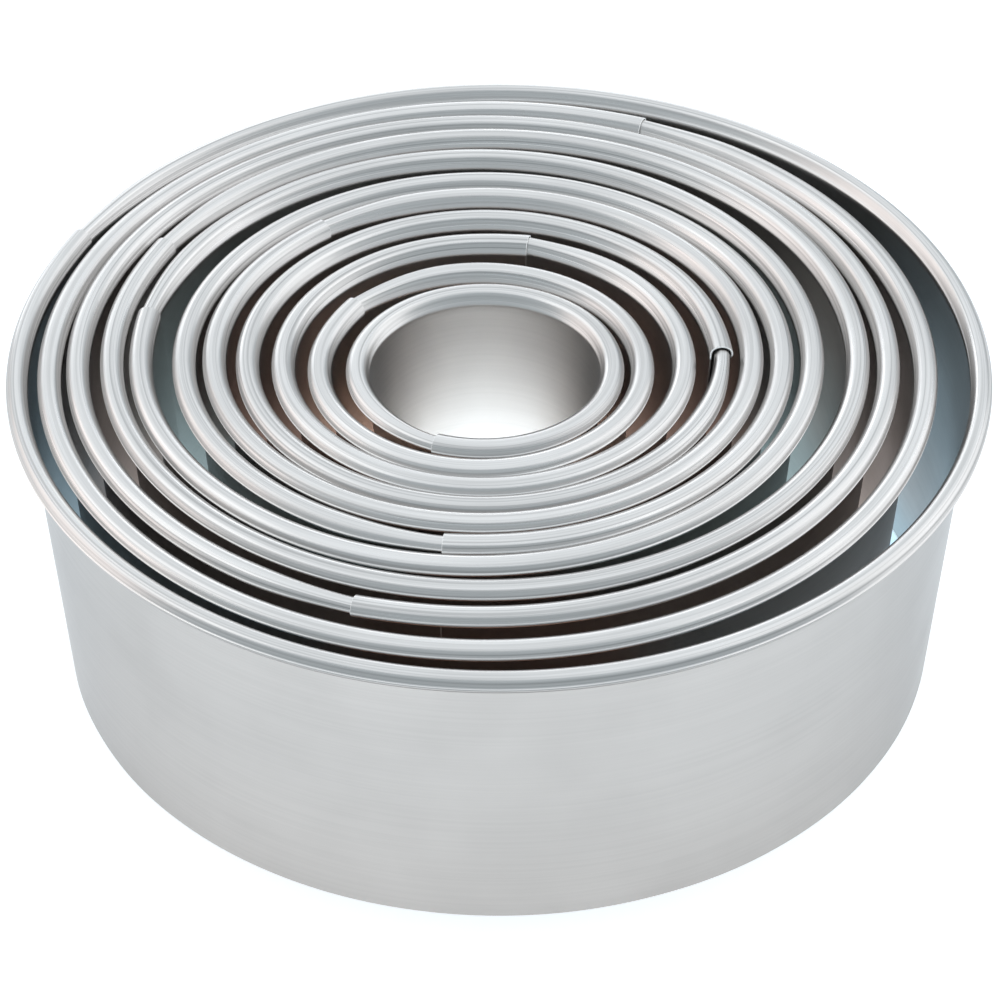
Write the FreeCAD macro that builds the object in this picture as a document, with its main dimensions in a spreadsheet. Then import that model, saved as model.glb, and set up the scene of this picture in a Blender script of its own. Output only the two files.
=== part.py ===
import FreeCAD, Part
import math
import os

import Sketcher

# A nest of eleven round pastry cutters, in millimetres and degrees, +Z up.
# Each cutter is one strip of thin sheet steel rolled into a hoop that tapers a little towards its cutting
# edge. Its upper edge is curled outwards into a hollow bead, and its two ends lap: the bead of one end is
# narrowed and tucked into the open mouth of the other, with the narrowed end's wall on the outside.
# The origin is the centre of the largest cutter's lower edge.

cutter_count = 11

# Sizes that all the cutters share, and the inside of the smallest one's bead
shared_sizes = {
    "smallest_diameter": 22.8,
    "overall_height": 33.7,
    "sheet_thickness": 0.2,
    "bead_diameter": 2.05,
    "taper_angle": 4.15,
    "tuck_clearance": 0.03,
    "narrowing_length": 11.0,
    "lap_length": 8.0,
}

# Room between a cutter's wall and the bead of the next smaller one, from the second cutter up
nest_clearances = (1.3, 1.8, 1.5, 1.15, 0.9, 1.6, 1.6, 1.1, 1.3, 2.05)

# How far each cutter but the largest has slid across its room, as a share of it, and which way
lean_shares = (0.37, 0.65, 0.45, 0.69, 0.18, 0.53, 0.52, 0.54, 0.84, 0.57)
lean_angles = (331, 256, 269, 276, 83, 318, 192, 72, 115, 162)

# Where the mouth of each cutter's lap points
seam_angles = (248, 141, 77, 1, 128, 263, 170, 152, 253, 68, 154)

# Stations of the narrowing, as shares of its length
station_shares = (0, 1 / 3, 2 / 3, 1)

quarter_turn = 90
half_turn = 180
full_turn = 360

document = FreeCAD.newDocument("pastry_cutters")
sheet = document.addObject("Spreadsheet::Sheet", "sizes")


def label(number):
    return f"cutter_{number:02d}"


def fill_sheet():
    cells = dict(shared_sizes)
    for number in range(1, cutter_count + 1):
        cells[f"{label(number)}_seam_angle"] = seam_angles[number - 1]
        if number > 1:
            cells[f"{label(number)}_clearance"] = nest_clearances[number - 2]
        if number < cutter_count:
            cells[f"{label(number)}_lean_share"] = lean_shares[number - 1]
            cells[f"{label(number)}_lean_angle"] = lean_angles[number - 1]
    for row, (alias, value) in enumerate(cells.items(), start=1):
        sheet.set(f"A{row}", alias)
        sheet.set(f"B{row}", str(value))
        sheet.setAlias(f"B{row}", alias)
    document.recompute()


def number_of(expression):
    value = sheet.evalExpression(expression)
    return float(getattr(value, "Value", value))


def rim_radius(number):
    # Radius of the circle that the bead's centre follows: each cutter clears the bead of the one inside it
    if number == 1:
        return "(sizes.smallest_diameter + sizes.bead_diameter) / 2"
    inner = f"{label(number - 1)}_rim.Constraints.rim_radius / 1mm"
    return f"({inner} + sizes.bead_diameter + sizes.{label(number)}_clearance)"


def arc_angle(length, number):
    # The turn, in degrees, that a length along the bead's centre circle takes
    return f"(sizes.{length} / {rim_radius(number)} * {half_turn} / pi)"


def bead_radius(narrowed_share):
    # The narrowed bead fits inside the sheet of the full one
    return (
        "(sizes.bead_diameter / 2"
        f" - {narrowed_share} * (sizes.sheet_thickness + sizes.tuck_clearance))"
    )


# The curl stops where the wall of a tucked end can still pass between it and the full end's wall
curl_rest_angle = (
    "acos(1 - 4 * (sizes.sheet_thickness + sizes.tuck_clearance) / sizes.bead_diameter)"
)


def add_profile(body, name, number, narrowed_share, turn):
    # Section through wall and curled bead, on a plane through the hoop's axis turned by an angle about it
    rim = number_of(rim_radius(number))
    bead = number_of(bead_radius(narrowed_share))
    inner_bead = bead - number_of("sizes.sheet_thickness")
    centre_height = number_of("sizes.overall_height - sizes.bead_diameter / 2")
    rest = math.radians(number_of(curl_rest_angle))
    taper = math.radians(number_of("sizes.taper_angle"))
    upright = FreeCAD.Vector(0, 1, 0)
    normal = FreeCAD.Vector(0, 0, 1)
    centre = FreeCAD.Vector(rim, centre_height, 0)
    tip = FreeCAD.Vector(-math.cos(rest), -math.sin(rest), 0)
    inwards = FreeCAD.Vector(-math.cos(taper), math.sin(taper), 0)

    sketch = body.newObject("Sketcher::SketchObject", name)
    sketch.AttachmentSupport = [(origin_plane(body, "XZ_Plane"), "")]
    sketch.MapMode = "FlatFace"
    if turn:
        rotation = FreeCAD.Rotation(upright, number_of(turn))
        sketch.AttachmentOffset = FreeCAD.Placement(FreeCAD.Vector(), rotation)
        sketch.setExpression("AttachmentOffset.Rotation.Angle", turn)

    def arc(radius):
        circle = Part.Circle(centre, normal, radius)
        return sketch.addGeometry(Part.ArcOfCircle(circle, rest - math.pi, math.pi - taper))

    def line(start, end):
        return sketch.addGeometry(Part.LineSegment(start, end))

    def head(radius):
        return centre + inwards * radius

    def foot(radius):
        top = head(radius)
        return FreeCAD.Vector(top.x - top.y * math.tan(taper), 0, 0)

    outer_curl = arc(bead)
    inner_curl = arc(inner_bead)
    inside_wall = line(foot(bead), head(bead))
    outside_wall = line(foot(inner_bead), head(inner_bead))
    cutting_edge = line(foot(bead), foot(inner_bead))
    curl_end = line(centre + tip * bead, centre + tip * inner_bead)

    def add(kind, *where):
        return sketch.addConstraint(Sketcher.Constraint(kind, *where))

    def drive(constraint, alias, expression):
        sketch.renameConstraint(constraint, alias)
        sketch.setExpression(f"Constraints.{alias}", expression)

    start, end, middle = 1, 2, 3
    horizontal_axis = -1
    root = (horizontal_axis, start)
    add("Coincident", outer_curl, middle, inner_curl, middle)
    add("Tangent", inside_wall, end, outer_curl, end)
    add("Tangent", outside_wall, end, inner_curl, end)
    add("Coincident", inside_wall, start, cutting_edge, start)
    add("Coincident", outside_wall, start, cutting_edge, end)
    add("Coincident", outer_curl, start, curl_end, start)
    add("Coincident", inner_curl, start, curl_end, end)
    add("Parallel", inside_wall, outside_wall)
    add("Horizontal", cutting_edge)
    add("PointOnObject", cutting_edge, start, horizontal_axis)
    add("PointOnObject", outer_curl, middle, curl_end)
    drive(add("Radius", outer_curl, bead), "bead_radius", bead_radius(narrowed_share))
    drive(
        add("Radius", inner_curl, inner_bead),
        "hollow_radius",
        f"{bead_radius(narrowed_share)} - sizes.sheet_thickness",
    )
    drive(
        add("Angle", inside_wall, math.pi / 2 - taper),
        "wall_slope",
        f"{quarter_turn} - sizes.taper_angle",
    )
    drive(add("DistanceX", *root, outer_curl, middle, rim), "rim_radius", rim_radius(number))
    drive(
        add("DistanceY", *root, outer_curl, middle, centre_height),
        "bead_height",
        "sizes.overall_height - sizes.bead_diameter / 2",
    )
    drive(add("Angle", curl_end, rest), "curl_rest", curl_rest_angle)
    return sketch


def origin_plane(body, role):
    for feature in body.Origin.OriginFeatures:
        if feature.Role == role:
            return feature
    raise LookupError(role)


def add_turn(body, name, profile, angle):
    # Turns a section about the hoop's axis, anticlockwise seen from above
    feature = body.newObject("PartDesign::Revolution", name)
    feature.Refine = False
    feature.Profile = profile
    feature.ReferenceAxis = (profile, ["V_Axis"])
    feature.setExpression("Angle", angle)
    return feature


def add_cutter(number):
    name = label(number)
    body = document.addObject("PartDesign::Body", name)
    body.Label = name
    narrowing = arc_angle("narrowing_length", number)

    # The hoop runs at its full section from the mouth of the lap round to the narrowing
    rim = add_profile(body, f"{name}_rim", number, station_shares[0], None)
    document.recompute()
    add_turn(body, f"{name}_hoop", rim, f"{full_turn} - {narrowing}")

    # The bead narrows and the wall moves out by the same step, up to the mouth
    stations = []
    for place, share in enumerate(station_shares):
        to_go = 1 - share
        turn = f"-{to_go} * {narrowing}" if to_go else None
        stations.append(add_profile(body, f"{name}_station_{place}", number, share, turn))
    document.recompute()
    narrow = body.newObject("PartDesign::AdditiveLoft", f"{name}_narrowing")
    narrow.Refine = False
    narrow.Profile = stations[0]
    narrow.Sections = stations[1:]

    # The narrowed end runs on behind the mouth for the length of the lap
    add_turn(body, f"{name}_tuck", stations[-1], arc_angle("lap_length", number))
    document.recompute()
    return body


def place_cutter(body, number):
    # The largest cutter stands at the origin, and each other one leans to a side of the next larger one
    name = label(number)
    upright = FreeCAD.Vector(0, 0, 1)
    seam = f"sizes.{name}_seam_angle"
    body.Placement = FreeCAD.Placement(
        FreeCAD.Vector(), FreeCAD.Rotation(upright, number_of(seam))
    )
    body.setExpression("Placement.Rotation.Angle", seam)
    if number == cutter_count:
        return
    outer = label(number + 1)
    reach = f"sizes.{name}_lean_share * sizes.{outer}_clearance"
    for axis, part in (("x", "cos"), ("y", "sin")):
        body.setExpression(
            f"Placement.Base.{axis}",
            f"{outer}.Placement.Base.{axis} + {reach} * {part}(sizes.{name}_lean_angle * 1deg) * 1mm",
        )


def check():
    for item in document.Objects:
        if {"Invalid", "Error"} & set(item.State):
            raise RuntimeError(f"{item.Label} failed: {item.State}")
    for body in cutters:
        shape = body.Shape
        if shape.isNull() or not shape.isValid() or len(shape.Solids) != 1:
            raise RuntimeError(f"{body.Label} has no single sound solid")


fill_sheet()
cutters = [add_cutter(number) for number in range(1, cutter_count + 1)]
for number in range(cutter_count, 0, -1):
    place_cutter(cutters[number - 1], number)
document.recompute()
check()

os.makedirs("parts", exist_ok=True)
for body in cutters:
    body.Shape.exportStep(os.path.join("parts", f"{body.Label}.step"))
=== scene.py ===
import math

import bpy
import numpy as np
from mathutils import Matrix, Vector


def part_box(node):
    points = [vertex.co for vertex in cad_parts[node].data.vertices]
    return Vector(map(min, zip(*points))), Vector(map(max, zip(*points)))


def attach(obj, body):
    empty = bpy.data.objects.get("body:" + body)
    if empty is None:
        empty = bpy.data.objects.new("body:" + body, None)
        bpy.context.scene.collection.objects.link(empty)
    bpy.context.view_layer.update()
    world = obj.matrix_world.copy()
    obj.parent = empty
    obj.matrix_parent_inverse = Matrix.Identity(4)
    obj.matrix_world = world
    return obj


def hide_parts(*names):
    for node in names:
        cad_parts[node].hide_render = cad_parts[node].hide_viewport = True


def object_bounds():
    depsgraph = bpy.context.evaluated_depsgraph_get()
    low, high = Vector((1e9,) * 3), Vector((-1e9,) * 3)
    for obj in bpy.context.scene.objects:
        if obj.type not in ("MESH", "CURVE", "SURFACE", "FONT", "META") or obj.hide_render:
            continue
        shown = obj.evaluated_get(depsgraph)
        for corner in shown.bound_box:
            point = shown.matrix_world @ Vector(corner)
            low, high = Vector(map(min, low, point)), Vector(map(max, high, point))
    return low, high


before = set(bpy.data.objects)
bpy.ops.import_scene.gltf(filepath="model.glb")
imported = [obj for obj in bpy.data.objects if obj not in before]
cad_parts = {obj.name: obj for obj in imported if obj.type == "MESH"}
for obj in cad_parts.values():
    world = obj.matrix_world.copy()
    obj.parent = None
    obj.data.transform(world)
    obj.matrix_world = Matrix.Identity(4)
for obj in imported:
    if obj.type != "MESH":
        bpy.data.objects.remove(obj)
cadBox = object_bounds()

# A nest of round pastry cutters. Lengths are in metres, angles in degrees, +Z is up.
mm = 0.001
upright = 90
fullTurn = 2 * math.pi
print("frame loaded:", len(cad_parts), "nodes")


class Wire:
    # A shader socket: + - and * between wires and numbers add Math nodes to its tree
    def __init__(self, tree, socket=None):
        self.tree = tree
        self.socket = socket

    def node(self, kind, settings=None, sockets=None, out=0):
        # Any node: its settings are set first, then each socket takes a value or a wire
        made = self.tree.nodes.new(kind)
        for name, value in (settings or {}).items():
            setattr(made, name, value)
        for name, value in (sockets or {}).items():
            if isinstance(value, Wire):
                self.tree.links.new(value.socket, made.inputs[name])
            else:
                made.inputs[name].default_value = value
        return Wire(self.tree, made.outputs[out] if made.outputs else None)

    def maths(self, operation, first, second):
        return self.node("ShaderNodeMath", {"operation": operation}, {0: first, 1: second})

    def vectors(self, operation, other, out=0):
        return self.node("ShaderNodeVectorMath", {"operation": operation}, {0: self, 1: other}, out)

    def __add__(self, other):
        return self.maths("ADD", self, other)

    def __radd__(self, other):
        return self.maths("ADD", other, self)

    def __sub__(self, other):
        return self.maths("SUBTRACT", self, other)

    def __rsub__(self, other):
        return self.maths("SUBTRACT", other, self)

    def __mul__(self, other):
        return self.maths("MULTIPLY", self, other)

    def __rmul__(self, other):
        return self.maths("MULTIPLY", other, self)

    def between(self, low, high):
        # Eases from 0 to 1 as the value goes from low to high
        return self.node(
            "ShaderNodeMapRange",
            {"interpolation_type": "SMOOTHSTEP"},
            {"Value": self, "From Min": low, "From Max": high},
        )

    def tint(self, first, second):
        # Goes from one colour to another with the value
        return self.node(
            "ShaderNodeMix", {"data_type": "RGBA"}, {0: self, 6: first, 7: second}, out=2
        )


def newMaterial(name):
    # An empty material, and a wire that adds nodes to it
    material = bpy.data.materials.new(name)
    material.use_nodes = True
    material.node_tree.nodes.clear()
    return material, Wire(material.node_tree)


# The sheet strip that each cutter is rolled from
strip = {
    "bead": 2.05 * mm,  # across the full bead
    "sheet": 0.20 * mm,
    "taper": 4.15,  # lean of the wall, towards the axis at its foot
    "tuckGap": 0.03 * mm,  # round the narrowed bead, inside the mouth
    "narrowing": 11.0 * mm,
    "lap": 8.0 * mm,
    "cutFrom": 0.9,  # how far apart along the sheet the strips were cut, so that their grain differs
    "cutBevel": 0.03 * mm,  # on every cut edge of the sheet
    "springReach": 5.5 * mm,  # how far from the mouth the ends spring outwards
    "roundness": 0.025 * mm,  # slow waves of the hoop
    "slowWaves": (2, 3, 5),  # how many of each go once round
    "ripple": 0.006 * mm,  # quicker waves of its wall
    "ripples": 6,
    "rippleCounts": (7, 23),  # how many of each go once round, from the first to below the second
    "rippleBands": (1, 4),  # half waves up the wall
    "rippleFade": 0.8,  # how much of them is gone at the bead
    "beadWider": 1.10,  # the nested beads are flattened a little: wider than the round one
    "beadLower": 0.90,
    "wallRows": 18,
    "beadRows": 60,
    "rowAngles": (150, 18, -24),  # on the bead, where its rows get closer together or further apart
    "rowShares": (0, 0.18, 0.52, 0.82, 1),  # of the rows, from the wall to each of these and to the tip
    "plainStep": 0.9 * mm,  # columns along the plain hoop
    "seamStep": 0.28 * mm,  # columns near the lap
    "crease": 38,  # edges that turn further stay sharp
}

# Where each cutter's mouth points, how far its ends spring out there, how much closer than need be its tucked
# end is nipped, how much longer than wide the hoop is, and whether its bead is flattened
laps = {
    "cutter_01": {"mouth": 248, "spring": 0.12 * mm, "nip": 0.02 * mm, "oval": 0, "flattened": 1},
    "cutter_02": {"mouth": 141, "spring": 0.26 * mm, "nip": 0.02 * mm, "oval": 0, "flattened": 1},
    "cutter_03": {"mouth": 77, "spring": 0.28 * mm, "nip": 0.02 * mm, "oval": 0, "flattened": 1},
    "cutter_04": {"mouth": 1, "spring": 0.14 * mm, "nip": 0.12 * mm, "oval": 0, "flattened": 1},
    "cutter_05": {"mouth": 128, "spring": 0.08 * mm, "nip": 0.02 * mm, "oval": 0, "flattened": 1},
    "cutter_06": {"mouth": 263, "spring": 0.12 * mm, "nip": 0.02 * mm, "oval": 0, "flattened": 1},
    "cutter_07": {"mouth": 170, "spring": 0.10 * mm, "nip": 0.02 * mm, "oval": 0, "flattened": 1},
    "cutter_08": {"mouth": 152, "spring": 0.10 * mm, "nip": 0.02 * mm, "oval": 0, "flattened": 1},
    "cutter_09": {"mouth": 253, "spring": 0.12 * mm, "nip": 0.02 * mm, "oval": 0, "flattened": 0.7},
    "cutter_10": {"mouth": 68, "spring": 0.12 * mm, "nip": 0.02 * mm, "oval": 0.25 * mm, "flattened": 1},
    "cutter_11": {"mouth": 154, "spring": 0.10 * mm, "nip": 0.02 * mm, "oval": 0, "flattened": 0},
}


def ease(share):
    # 3 t^2 - 2 t^3, held at 0 and 1 outside
    held = np.clip(share, 0, 1)
    return held * held * (3 - 2 * held)


def columnTurns(rim):
    # Turns along the strip, from the mouth once round and on to the tucked end, closer near the lap
    full = fullTurn * rim
    near = strip["narrowing"] + strip["springReach"]
    bevel = strip["cutBevel"]
    end = full + strip["lap"]
    first = np.arange(bevel, near, strip["seamStep"])
    plain = np.linspace(near, full - near, int((full - 2 * near) / strip["plainStep"]))
    last = np.arange(full - near + strip["seamStep"], end - bevel, strip["seamStep"])
    lengths = np.concatenate([[0], first, plain, last, [end - bevel, end]])
    return lengths / rim


def beadAngles(start, end):
    # Angles round the bead from the wall to the tip, closer together at the lips
    stretches = [start, *np.radians(strip["rowAngles"]), end]
    return np.interp(np.linspace(0, 1, strip["beadRows"]), strip["rowShares"], stretches)


def wallAcross(radius, up):
    # The leaning wall that touches a bead of radius b: r = z tan t - b / cos t
    taper = math.radians(strip["taper"])
    return up * math.tan(taper) - radius / math.cos(taper)


def sheetSide(radius, inset, height, tipAngle):
    # One side of the sheet about the bead's centre: the leaning wall from the foot up, then an arc
    # r = b cos a, z = b sin a from where it touches the wall over the top down to the curl's tip
    taper = math.radians(strip["taper"])
    bevel = strip["cutBevel"]
    rise = 1 - np.linspace(1, 0, strip["wallRows"], endpoint=False)[None, :] ** 2
    foot = -height + bevel + inset
    wallUp = foot + (radius * math.sin(taper) - foot) * rise
    angle = beadAngles(math.pi - taper, tipAngle + bevel / strip["bead"] * 2)[None, :]
    across = np.concatenate([wallAcross(radius, wallUp), radius * np.cos(angle)], axis=1)
    up = np.concatenate([wallUp, radius * np.sin(angle)], axis=1)
    return np.stack([across, up], axis=2)


def sheetLoop(bead, inset, height, tipAngle):
    # The closed section at every column: the side towards the axis and round the bead's outside, the
    # curl's tip, back along the other side, and the cutting edge
    sheet = strip["sheet"]
    narrow = inset + strip["cutBevel"]
    outer = sheetSide(bead - inset, inset, height, tipAngle)
    inner = sheetSide(bead - sheet + inset, inset, height, tipAngle)

    def tip(radius):
        return np.stack([radius * math.cos(tipAngle), radius * math.sin(tipAngle)], axis=2)

    def foot(radius):
        up = 0 * radius - height + inset
        return np.stack([wallAcross(radius, up), up], axis=2)

    ends = [tip(bead - narrow), tip(bead - sheet + narrow)]
    edges = [foot(bead - sheet + narrow), foot(bead - narrow)]
    return np.concatenate([outer, *ends, inner[:, ::-1], *edges], axis=1)


def flattenBead(loop, bead, amount):
    # Round the bead, r goes to r0 + (r - r0) w from the wall's side r0 outwards, and z to b - (b - z) l from
    # the top b down, each fading out between one and two of its radii below its centre
    inner = loop[:, :, 0].max(axis=1, keepdims=True) - 2 * bead
    wider = amount * (strip["beadWider"] - 1)
    lower = amount * (1 - strip["beadLower"])
    across = loop[:, :, 0].copy()
    up = loop[:, :, 1].copy()
    onBead = ease(up / bead + 2)
    offWall = ease((across - inner) / (bead / 2))
    loop[:, :, 0] += offWall * onBead * (across - inner) * wider
    loop[:, :, 1] += onBead * (bead - up) * lower


def stripFaces(columns, rows):
    # Quads between neighbouring columns round the closed section, and a ribbon of quads across the
    # sheet at both ends
    column = np.arange(columns - 1)[:, None] * rows
    row = np.arange(rows)[None, :]
    following = (row + 1) % rows
    skin = np.stack(
        [column + row, column + following, column + rows + following, column + rows + row], axis=2
    )
    side = strip["wallRows"] + strip["beadRows"]
    step = np.arange(side - 1)
    mirror = 2 * side + 1 - step
    ribbon = np.stack([step, step + 1, mirror - 1, mirror], axis=1)
    tipQuad = [side - 1, side, side + 1, side + 2]
    footQuad = [rows - 1, 0, 2 * side + 1, rows - 2]
    cap = np.concatenate([ribbon, [tipQuad, footQuad]])
    lastColumn = (columns - 1) * rows
    return np.concatenate([skin.reshape(-1, 4), cap[:, ::-1], cap + lastColumn])


def hoopWaves(turn, height, draws):
    # Slow waves sin(k t + p) of the hoop, and quicker ones sin(k t + p) cos(n pi h + q) of its wall that fade
    # towards the bead, never outwards
    def phase():
        return draws.uniform(0, fullTurn)

    counts = strip["slowWaves"]
    slow = sum(np.sin(k * turn + phase()) for k in counts) - len(counts)
    quick = sum(
        np.sin(k * turn + phase())
        * np.cos(draws.uniform(*strip["rippleBands"]) * math.pi * height + phase())
        for k in draws.integers(*strip["rippleCounts"], strip["ripples"])
    )
    fade = 1 - strip["rippleFade"] * height
    return strip["roundness"] / len(counts) * slow + strip["ripple"] * (quick - strip["ripples"]) * fade


# How the rolls and the shears leave the bead, as angles of its shading
flanks = {
    "rise": 34,  # least rise on the bead's flattened flanks
    "softness": 5,  # how gently that sets in
    "lipRise": 20,  # further rise along the lip at the foot of each flank
    "outerLip": -3,  # where the lips are on the bead's section, and how wide
    "outerWidth": 7,
    "innerLip": 178,
    "innerWidth": 6,
    "innerShare": 0.6,  # how strong the inner lip is
    "innerSteep": 1.37,  # how much faster the bead turns down on its wall side
    "burrRise": 38,  # further rise along the burr of each cut end
    "underFrom": -24,  # all this fades in from under the bead
    "underTo": -12,
    "wallFrom": -0.585 * mm,  # and up the inside wall, counted from the bead's centre
    "wallTo": -0.135 * mm,
}


def lipBump(along, lip, width):
    # A bell exp(-((a - a0) / w)^2) about the lip
    return np.exp(-(((along - lip) / width) ** 2))


def easeFlanks(mesh, corner, columns, loop, tipAngle):
    # The rolls flatten the bead's flanks and leave a lip at the foot of each, and the shears leave a burr at
    # the ends. The normals' elevation el, taken faster from the top down on the wall side, rises to
    # f + s ln(1 + exp((el - f) / s)) + l exp(-((a - a0) / w)^2) + b, with f the flanks' rise, s its softness,
    # l the lips' rise at the angle a0 and b the burr's, fading out under the bead and down the inside wall
    wallRows = strip["wallRows"]
    side = wallRows + strip["beadRows"]
    rows = loop.shape[1]
    up = loop[columns // 2, :wallRows, 1]
    angle = np.degrees(beadAngles(math.pi - math.radians(strip["taper"]), tipAngle))
    below = 2 * upright - strip["taper"] - np.degrees(up / (strip["bead"] / 2))
    along = np.concatenate([below, angle])
    lip = np.zeros(rows)
    lip[:side] = lipBump(along, flanks["outerLip"], flanks["outerWidth"])
    lip[:side] += flanks["innerShare"] * lipBump(along, flanks["innerLip"], flanks["innerWidth"])
    fade = np.zeros(rows)
    fade[:wallRows] = ease((up - flanks["wallFrom"]) / (flanks["wallTo"] - flanks["wallFrom"]))
    fade[wallRows:side] = ease((angle - flanks["underFrom"]) / (flanks["underTo"] - flanks["underFrom"]))
    steep = np.ones(rows)
    steep[wallRows:side] = np.where(angle > upright, flanks["innerSteep"], 1)

    def atCorners(rowValues):
        return np.tile(rowValues, columns)[corner]

    atEnd = (corner < rows) | (corner >= (columns - 1) * rows)
    raised = flanks["lipRise"] * atCorners(lip) + flanks["burrRise"] * atEnd
    normals = np.empty(3 * len(mesh.loops), dtype=np.float32)
    mesh.corner_normals.foreach_get("vector", normals)
    normals = normals.reshape(-1, 3).astype(float)
    nearZero = 1e-9
    level = np.hypot(normals[:, 0], normals[:, 1]) + nearZero
    elevation = np.degrees(np.arctan2(normals[:, 2], level))
    fromTop = (upright - elevation) * atCorners(steep)
    elevation = np.where(elevation > 0, upright - fromTop, elevation)
    rise = flanks["rise"]
    softness = flanks["softness"]
    lifted = rise + softness * np.logaddexp(0, (elevation - rise) / softness) + raised
    turned = np.radians(elevation + atCorners(fade) * (np.minimum(lifted, upright) - elevation))
    normals[:, :2] *= (np.cos(turned) / level)[:, None]
    normals[:, 2] = np.sin(turned)
    mesh.normals_split_custom_set(normals.tolist())


def markStrip(mesh, corner, lengths, loop, number):
    # Lengths along and across the strip as its UV, and which parts are bead, inside wall and cut end
    columns, rows = loop.shape[:2]
    wallRows = strip["wallRows"]
    stepLength = np.linalg.norm(np.diff(loop[columns // 2], axis=0), axis=1)
    across = np.concatenate([[0], np.cumsum(stepLength)])
    alongUv = np.repeat(lengths, rows) + number * strip["cutFrom"]
    acrossUv = np.tile(across, columns)
    uv = mesh.uv_layers.new(name="strip")
    uv.data.foreach_set("uv", np.stack([alongUv[corner], acrossUv[corner]], axis=1).ravel())
    row = np.arange(rows)
    outsideWall = rows - 2 - wallRows  # the last two rows are the cutting edge
    isCut = np.zeros((columns, rows))
    isCut[[0, -1]] = 1
    masks = {
        "bead": np.tile((row >= wallRows) & (row < outsideWall), columns),
        "inside": np.tile(row < wallRows, columns),
        "cut": isCut.ravel(),
    }
    for label, mask in masks.items():
        attribute = mesh.attributes.new(label, "FLOAT", "POINT")
        attribute.data.foreach_set("value", mask.astype(np.float32))


def rollCutter(name, steel):
    # The curl stops at the angle a where a tucked end's wall can still pass: cos a = 1 - 4 s / d
    lap = laps[name]
    low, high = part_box(name)
    number = int(name[-2:])
    draws = np.random.default_rng(number)
    bead = strip["bead"] / 2
    step = strip["sheet"] + strip["tuckGap"]
    rim = max(high.x - low.x, high.y - low.y) / 2 - bead
    height = high.z - low.z - bead
    tipAngle = -math.pi + math.acos(1 - 4 * step / strip["bead"])

    # Lengths from the mouth, and the narrowing that leads to it
    turn = columnTurns(rim)[:, None]
    fromMouth = np.where(turn < math.pi, turn, turn - fullTurn) * rim
    narrowed = np.where(turn < math.pi, 0, ease(1 + fromMouth / strip["narrowing"]))
    inset = np.zeros_like(turn)
    inset[[0, -1]] = strip["cutBevel"]
    loop = sheetLoop(bead - (step + lap["nip"]) * narrowed, inset, height, tipAngle)
    flattenBead(loop, bead, lap["flattened"])
    columns, rows = loop.shape[:2]

    # Spring at the ends, waves and oval of the hoop, all along the radius
    spring = lap["spring"] * np.clip(1 - np.abs(fromMouth) / strip["springReach"], 0, 1) ** 2
    share = 1 + loop[:, :, 1] / height
    waves = hoopWaves(np.minimum(turn, fullTurn) + 0 * share, np.clip(share, 0, 1), draws)
    bearing = turn + math.radians(lap["mouth"])
    oval = -lap["oval"] * np.cos(2 * bearing)
    radius = rim + loop[:, :, 0] + spring + waves + oval
    points = np.stack(
        [
            (low.x + high.x) / 2 + radius * np.cos(bearing),
            (low.y + high.y) / 2 + radius * np.sin(bearing),
            low.z + height + loop[:, :, 1],
        ],
        axis=2,
    )

    mesh = bpy.data.meshes.new(name + "_strip")
    mesh.from_pydata(points.reshape(-1, 3), [], stripFaces(columns, rows))
    mesh.validate()
    corner = np.empty(len(mesh.loops), dtype=np.int32)
    mesh.loops.foreach_get("vertex_index", corner)
    markStrip(mesh, corner, (turn * rim).ravel(), loop, number)
    mesh.shade_smooth()
    mesh.set_sharp_from_angle(angle=math.radians(strip["crease"]))
    easeFlanks(mesh, corner, columns, loop, tipAngle)
    mesh.materials.append(steel)

    piece = bpy.data.objects.new(name + "_strip", mesh)
    bpy.context.collection.objects.link(piece)
    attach(piece, name)
    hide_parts(name)
    return piece


# Bright drawn steel
steelLook = {
    "pale": (0.635, 0.600, 0.575, 1),
    "grey": (0.470, 0.444, 0.425, 1),
    "beadRoughness": 0.26,
    "wallRoughness": 0.28,
    "insideRoughness": 0.30,
    "grain": {"along": 22, "across": 2600, "detail": 3, "roughness": 0.6},  # streaks to the metre
    "grainFrom": 0.32,  # noise between which a streak goes from pale to grey
    "grainTo": 0.72,
    "grainGrey": 0.75,
    "grainRoughness": 0.07,
    "grainDepth": 0.03 * mm,
    "grainBump": 0.8,
    "wallGrain": 0.2,  # how much of the grain shows on the wall
    "lines": {"along": 5, "across": 3600, "detail": 1, "roughness": 0.5},  # longer ones, on the bead only
    "linesFrom": 0.52,
    "linesTo": 0.70,
    "linesShow": 0.6,
    "rolled": (0.30, 0.285, 0.275, 1),
    "wallShade": 0.42,  # painted shade: how much greyer the outside wall's colour is made, to darken its reflections
    "smudges": 70,  # to the metre
    "smudgeDetail": 3,
    "smudgeFrom": 0.35,
    "smudgeTo": 0.7,
    "smudgeGrey": 0.2,
    "smudgeRoughness": 0.04,
    # Painted highlight: the cut ends are painted paler, for a bright line along each mouth's edge
    "cutHighlight": (0.90, 0.88, 0.86, 1),
    "cutRoughness": 0.5,
    "edgeTint": (0.72, 0.73, 0.74, 1),  # how much less it shines where it is seen edge on
}


def streaks(uv, noise):
    # Noise drawn out along the strip
    stretched = uv.vectors("MULTIPLY", (noise["along"], noise["across"], 0))
    return uv.node(
        "ShaderNodeTexNoise",
        {},
        {"Vector": stretched, "Scale": 1, "Detail": noise["detail"], "Roughness": noise["roughness"]},
    )


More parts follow.
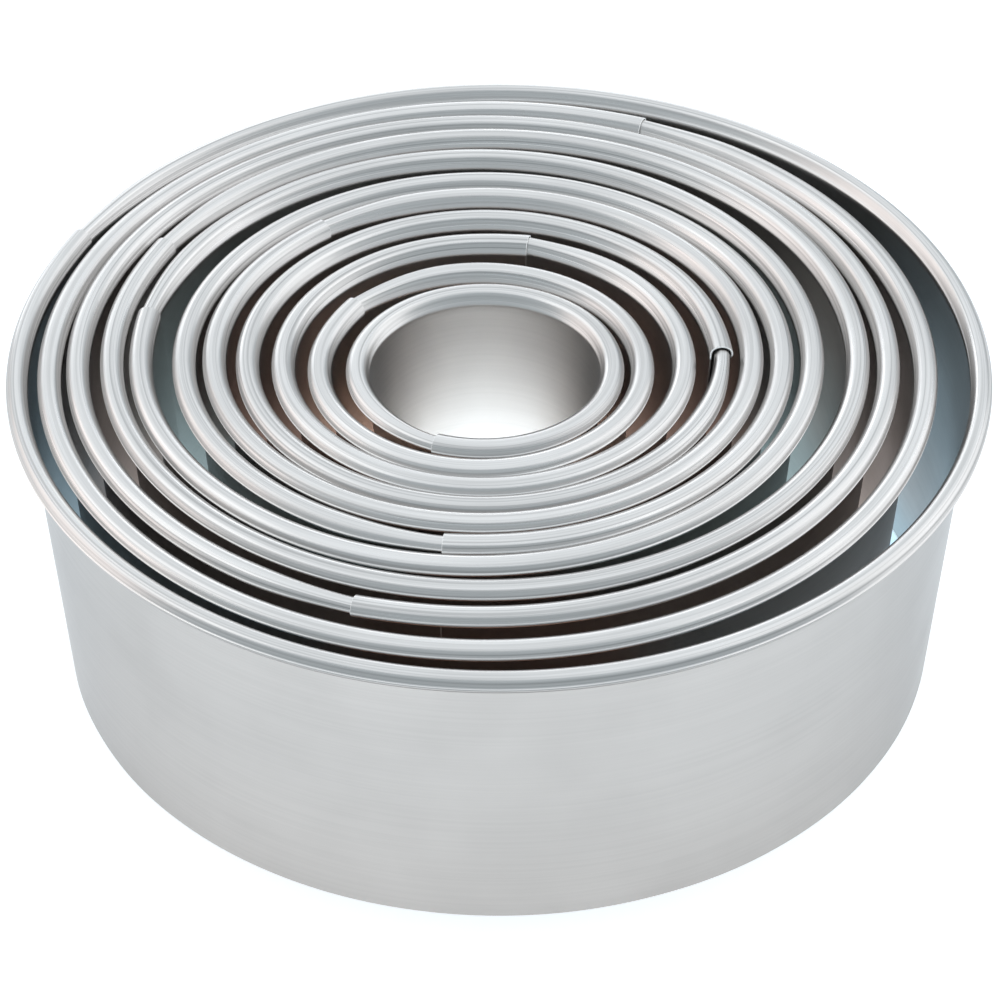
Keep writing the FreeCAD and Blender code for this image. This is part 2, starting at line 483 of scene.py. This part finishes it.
def drawnSteel():
    look = steelLook
    material, bench = newMaterial("drawnSteel")

    def mask(name):
        return bench.node("ShaderNodeAttribute", {"attribute_name": name}, out=2)

    bead = mask("bead")
    inside = mask("inside")
    cut = mask("cut")
    uv = bench.node("ShaderNodeUVMap", {"uv_map": "strip"})
    grain = streaks(uv, look["grain"])
    lines = streaks(uv, look["lines"])
    place = bench.node("ShaderNodeTexCoord", out=3)
    smudge = bench.node(
        "ShaderNodeTexNoise",
        {},
        {"Vector": place, "Scale": look["smudges"], "Detail": look["smudgeDetail"]},
    )
    shows = look["wallGrain"] + bead * (1 - look["wallGrain"])
    streak = grain.between(look["grainFrom"], look["grainTo"]) * shows
    worn = smudge.between(look["smudgeFrom"], look["smudgeTo"])

    # Streaks and smudges are greyer and lines on the bead darker; the outside wall is greyed as painted shade
    # and the cut ends are paler as a painted highlight
    paintedWallShade = (1 - bead) * (1 - inside) * look["wallShade"]
    greyed = streak * look["grainGrey"] + worn * look["smudgeGrey"] + paintedWallShade
    plain = greyed.tint(look["pale"], look["grey"])
    lined = lines.between(look["linesFrom"], look["linesTo"]) * bead * look["linesShow"]
    drawn = lined.tint(plain, look["rolled"])
    # The cut ends take a paler colour as a painted highlight
    colour = cut.tint(drawn, look["cutHighlight"])

    wall = look["wallRoughness"] + inside * (look["insideRoughness"] - look["wallRoughness"])
    clean = wall + bead * (look["beadRoughness"] - wall)
    used = clean + streak * look["grainRoughness"] + worn * look["smudgeRoughness"]
    roughness = used + cut * (look["cutRoughness"] - used)
    bump = bench.node(
        "ShaderNodeBump",
        {},
        {"Strength": look["grainBump"], "Distance": look["grainDepth"], "Height": grain * shows},
    )
    shader = bench.node(
        "ShaderNodeBsdfPrincipled",
        {},
        {
            "Base Color": colour,
            "Metallic": 1,
            "Roughness": roughness,
            "Specular Tint": look["edgeTint"],
            "Normal": bump,
        },
    )
    bench.node("ShaderNodeOutputMaterial", {}, {"Surface": shader})
    return material


steel = drawnSteel()
pieces = [rollCutter(name, steel) for name in laps]
triangles = sum(2 * len(piece.data.polygons) for piece in pieces)
print("cutters rolled:", len(pieces), "with", triangles, "triangles")


# A pale table. It glows a little round the nest, so that it stays white there, and it glows under the nest,
# warmer and cooler by turns from the middle outwards, to light the gaps
table = {
    "half": 6.0,
    "drop": 0.02 * mm,  # below the cutting edges
    "colour": (0.80, 0.82, 0.83, 1),
    "roughness": 0.9,
    "specular": 0.1,
    "glow": (0.33, 0.33, 0.33, 1),
    "footGlow": (0.43, 0.43, 0.43, 1),  # close to the nest, fading outwards
    "footFrom": 47 * mm,
    "footTo": 62 * mm,
    "nestFrom": 43.5 * mm,  # where the glow under the nest ends
    "nestTo": 44 * mm,
    "coreGlow": (4.6, 3.5, 3.0, 1),
    "rings": [
        {"from": 11 * mm, "to": 13 * mm, "glow": (0.85, 0.62, 0.54, 1)},
        {"from": 25 * mm, "to": 27 * mm, "glow": (0.72, 1.02, 1.12, 1)},
        {"from": 32.5 * mm, "to": 34 * mm, "glow": (0.92, 0.86, 0.84, 1)},
        {"from": 39 * mm, "to": 41 * mm, "glow": (0.62, 0.92, 1.12, 1)},
    ],
    "frontGlow": (0.75, 0.45, 0.36, 1),  # in a wedge that widens towards the front
    "frontSpread": 0.7,
    "frontFrom": -14 * mm,
    "frontTo": -24 * mm,
    "holeGlow": (4.1, 4.8, 5.3, 1),  # inside the smallest cutter
    "holeFrom": 9.2 * mm,
    "holeTo": 8.7 * mm,
}


def paleTable():
    half = table["half"]
    level = cadBox[0].z - table["drop"]
    corners = [(-half, -half, level), (half, -half, level), (half, half, level), (-half, half, level)]
    mesh = bpy.data.meshes.new("table")
    mesh.from_pydata(corners, [], [(0, 1, 2, 3)])
    floor = bpy.data.objects.new("table", mesh)
    bpy.context.collection.objects.link(floor)

    material, bench = newMaterial("paleTable")
    place = bench.node("ShaderNodeTexCoord", out=3)
    away = place.vectors("DISTANCE", (0, 0, 0), out=1)
    under = table["coreGlow"]
    for ring in table["rings"]:
        under = away.between(ring["from"], ring["to"]).tint(under, ring["glow"])
    toRight = bench.node("ShaderNodeSeparateXYZ", {}, {0: place}, out=0)
    toBack = bench.node("ShaderNodeSeparateXYZ", {}, {0: place}, out=1)
    aside = bench.maths("ABSOLUTE", toRight, 0)
    wedge = (toBack + aside * table["frontSpread"]).between(table["frontFrom"], table["frontTo"])
    under = wedge.tint(under, table["frontGlow"])
    low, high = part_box("cutter_01")
    axis = ((low.x + high.x) / 2, (low.y + high.y) / 2, 0)
    hole = place.vectors("DISTANCE", axis, out=1).between(table["holeFrom"], table["holeTo"])
    under = hole.tint(under, table["holeGlow"])
    beside = away.between(table["footFrom"], table["footTo"]).tint(table["footGlow"], table["glow"])
    glow = away.between(table["nestFrom"], table["nestTo"]).tint(under, beside)
    shader = bench.node(
        "ShaderNodeBsdfPrincipled",
        {},
        {
            "Base Color": table["colour"],
            "Roughness": table["roughness"],
            "Specular IOR Level": table["specular"],
            "Emission Color": glow,
            "Emission Strength": 1,
        },
    )
    bench.node("ShaderNodeOutputMaterial", {}, {"Surface": shader})
    mesh.materials.append(material)


# Soft boxes: place, size, how bright each looks and its tint; the room around them is dimmer and cooler
softBoxes = {
    "behind": {"place": (-0.25, 1.25, 0.23), "size": (1.3, 0.46), "brightness": 2.0},
    "left": {"place": (-1.13, 0.30, 0.35), "size": (1.2, 0.55), "brightness": 1.05},
    "right": {"place": (1.13, 0.30, 0.35), "size": (1.2, 0.55), "brightness": 1.05},
    "highLeft": {"place": (-0.70, 0.05, 0.66), "size": (0.85, 0.5), "brightness": 0.55},
    "highRight": {"place": (0.70, 0.05, 0.66), "size": (0.85, 0.5), "brightness": 0.55},
    "above": {"place": (0, 0.30, 0.99), "size": (2.8, 2.73), "brightness": 0.7},
}
lampTints = {
    "behind": (0.95, 1.0, 1.05),
    "left": (1.10, 0.98, 0.94),
    "right": (0.98, 1.0, 1.03),
    "highLeft": (1.0, 1.0, 1.0),
    "highRight": (1.0, 1.0, 1.0),
    "above": (0.95, 1.0, 1.05),
}
room = {"colour": (0.55, 0.64, 0.70, 1), "brightness": 1.0}


def softLight(name):
    # A box looks as bright as asked when its power is that brightness times pi times its area
    box = softBoxes[name]
    width, height = box["size"]
    light = bpy.data.lights.new(name, "AREA")
    light.shape = "RECTANGLE"
    light.size = width
    light.size_y = height
    light.color = lampTints[name]
    light.energy = box["brightness"] * math.pi * width * height
    lamp = bpy.data.objects.new(name, light)
    lamp.location = box["place"]
    lamp.rotation_mode = "QUATERNION"
    lamp.rotation_quaternion = (-Vector(box["place"])).to_track_quat("-Z", "Y")
    bpy.context.collection.objects.link(lamp)


def dimRoom():
    world = bpy.data.worlds.new("room")
    world.use_nodes = True
    shader = world.node_tree.nodes["Background"]
    shader.inputs["Color"].default_value = room["colour"]
    shader.inputs["Strength"].default_value = room["brightness"]
    bpy.context.scene.world = world


# The camera looks down over the near rim
view = {
    "distance": 400 * mm,
    "elevation": 37.34,
    "dip": 39.298,
    "aside": 0.10 * mm,
    "lens": 146.58,
    "sensor": 36,
    "near": 0.01,
    "far": 50,
}


def lookDown():
    camera = bpy.data.cameras.new("camera")
    camera.lens = view["lens"]
    camera.sensor_width = view["sensor"]
    camera.clip_start = view["near"]
    camera.clip_end = view["far"]
    eye = bpy.data.objects.new("camera", camera)
    elevation = math.radians(view["elevation"])
    rimHeight = cadBox[1].z - strip["bead"] / 2
    eye.location = (
        view["aside"],
        -view["distance"] * math.cos(elevation),
        rimHeight + view["distance"] * math.sin(elevation),
    )
    eye.rotation_euler = (math.radians(upright - view["dip"]), 0, 0)
    bpy.context.collection.objects.link(eye)
    bpy.context.scene.camera = eye


paleTable()
for name in softBoxes:
    softLight(name)
dimRoom()
lookDown()
bpy.context.scene.view_settings.view_transform = "Standard"
print("table, lights and camera set")
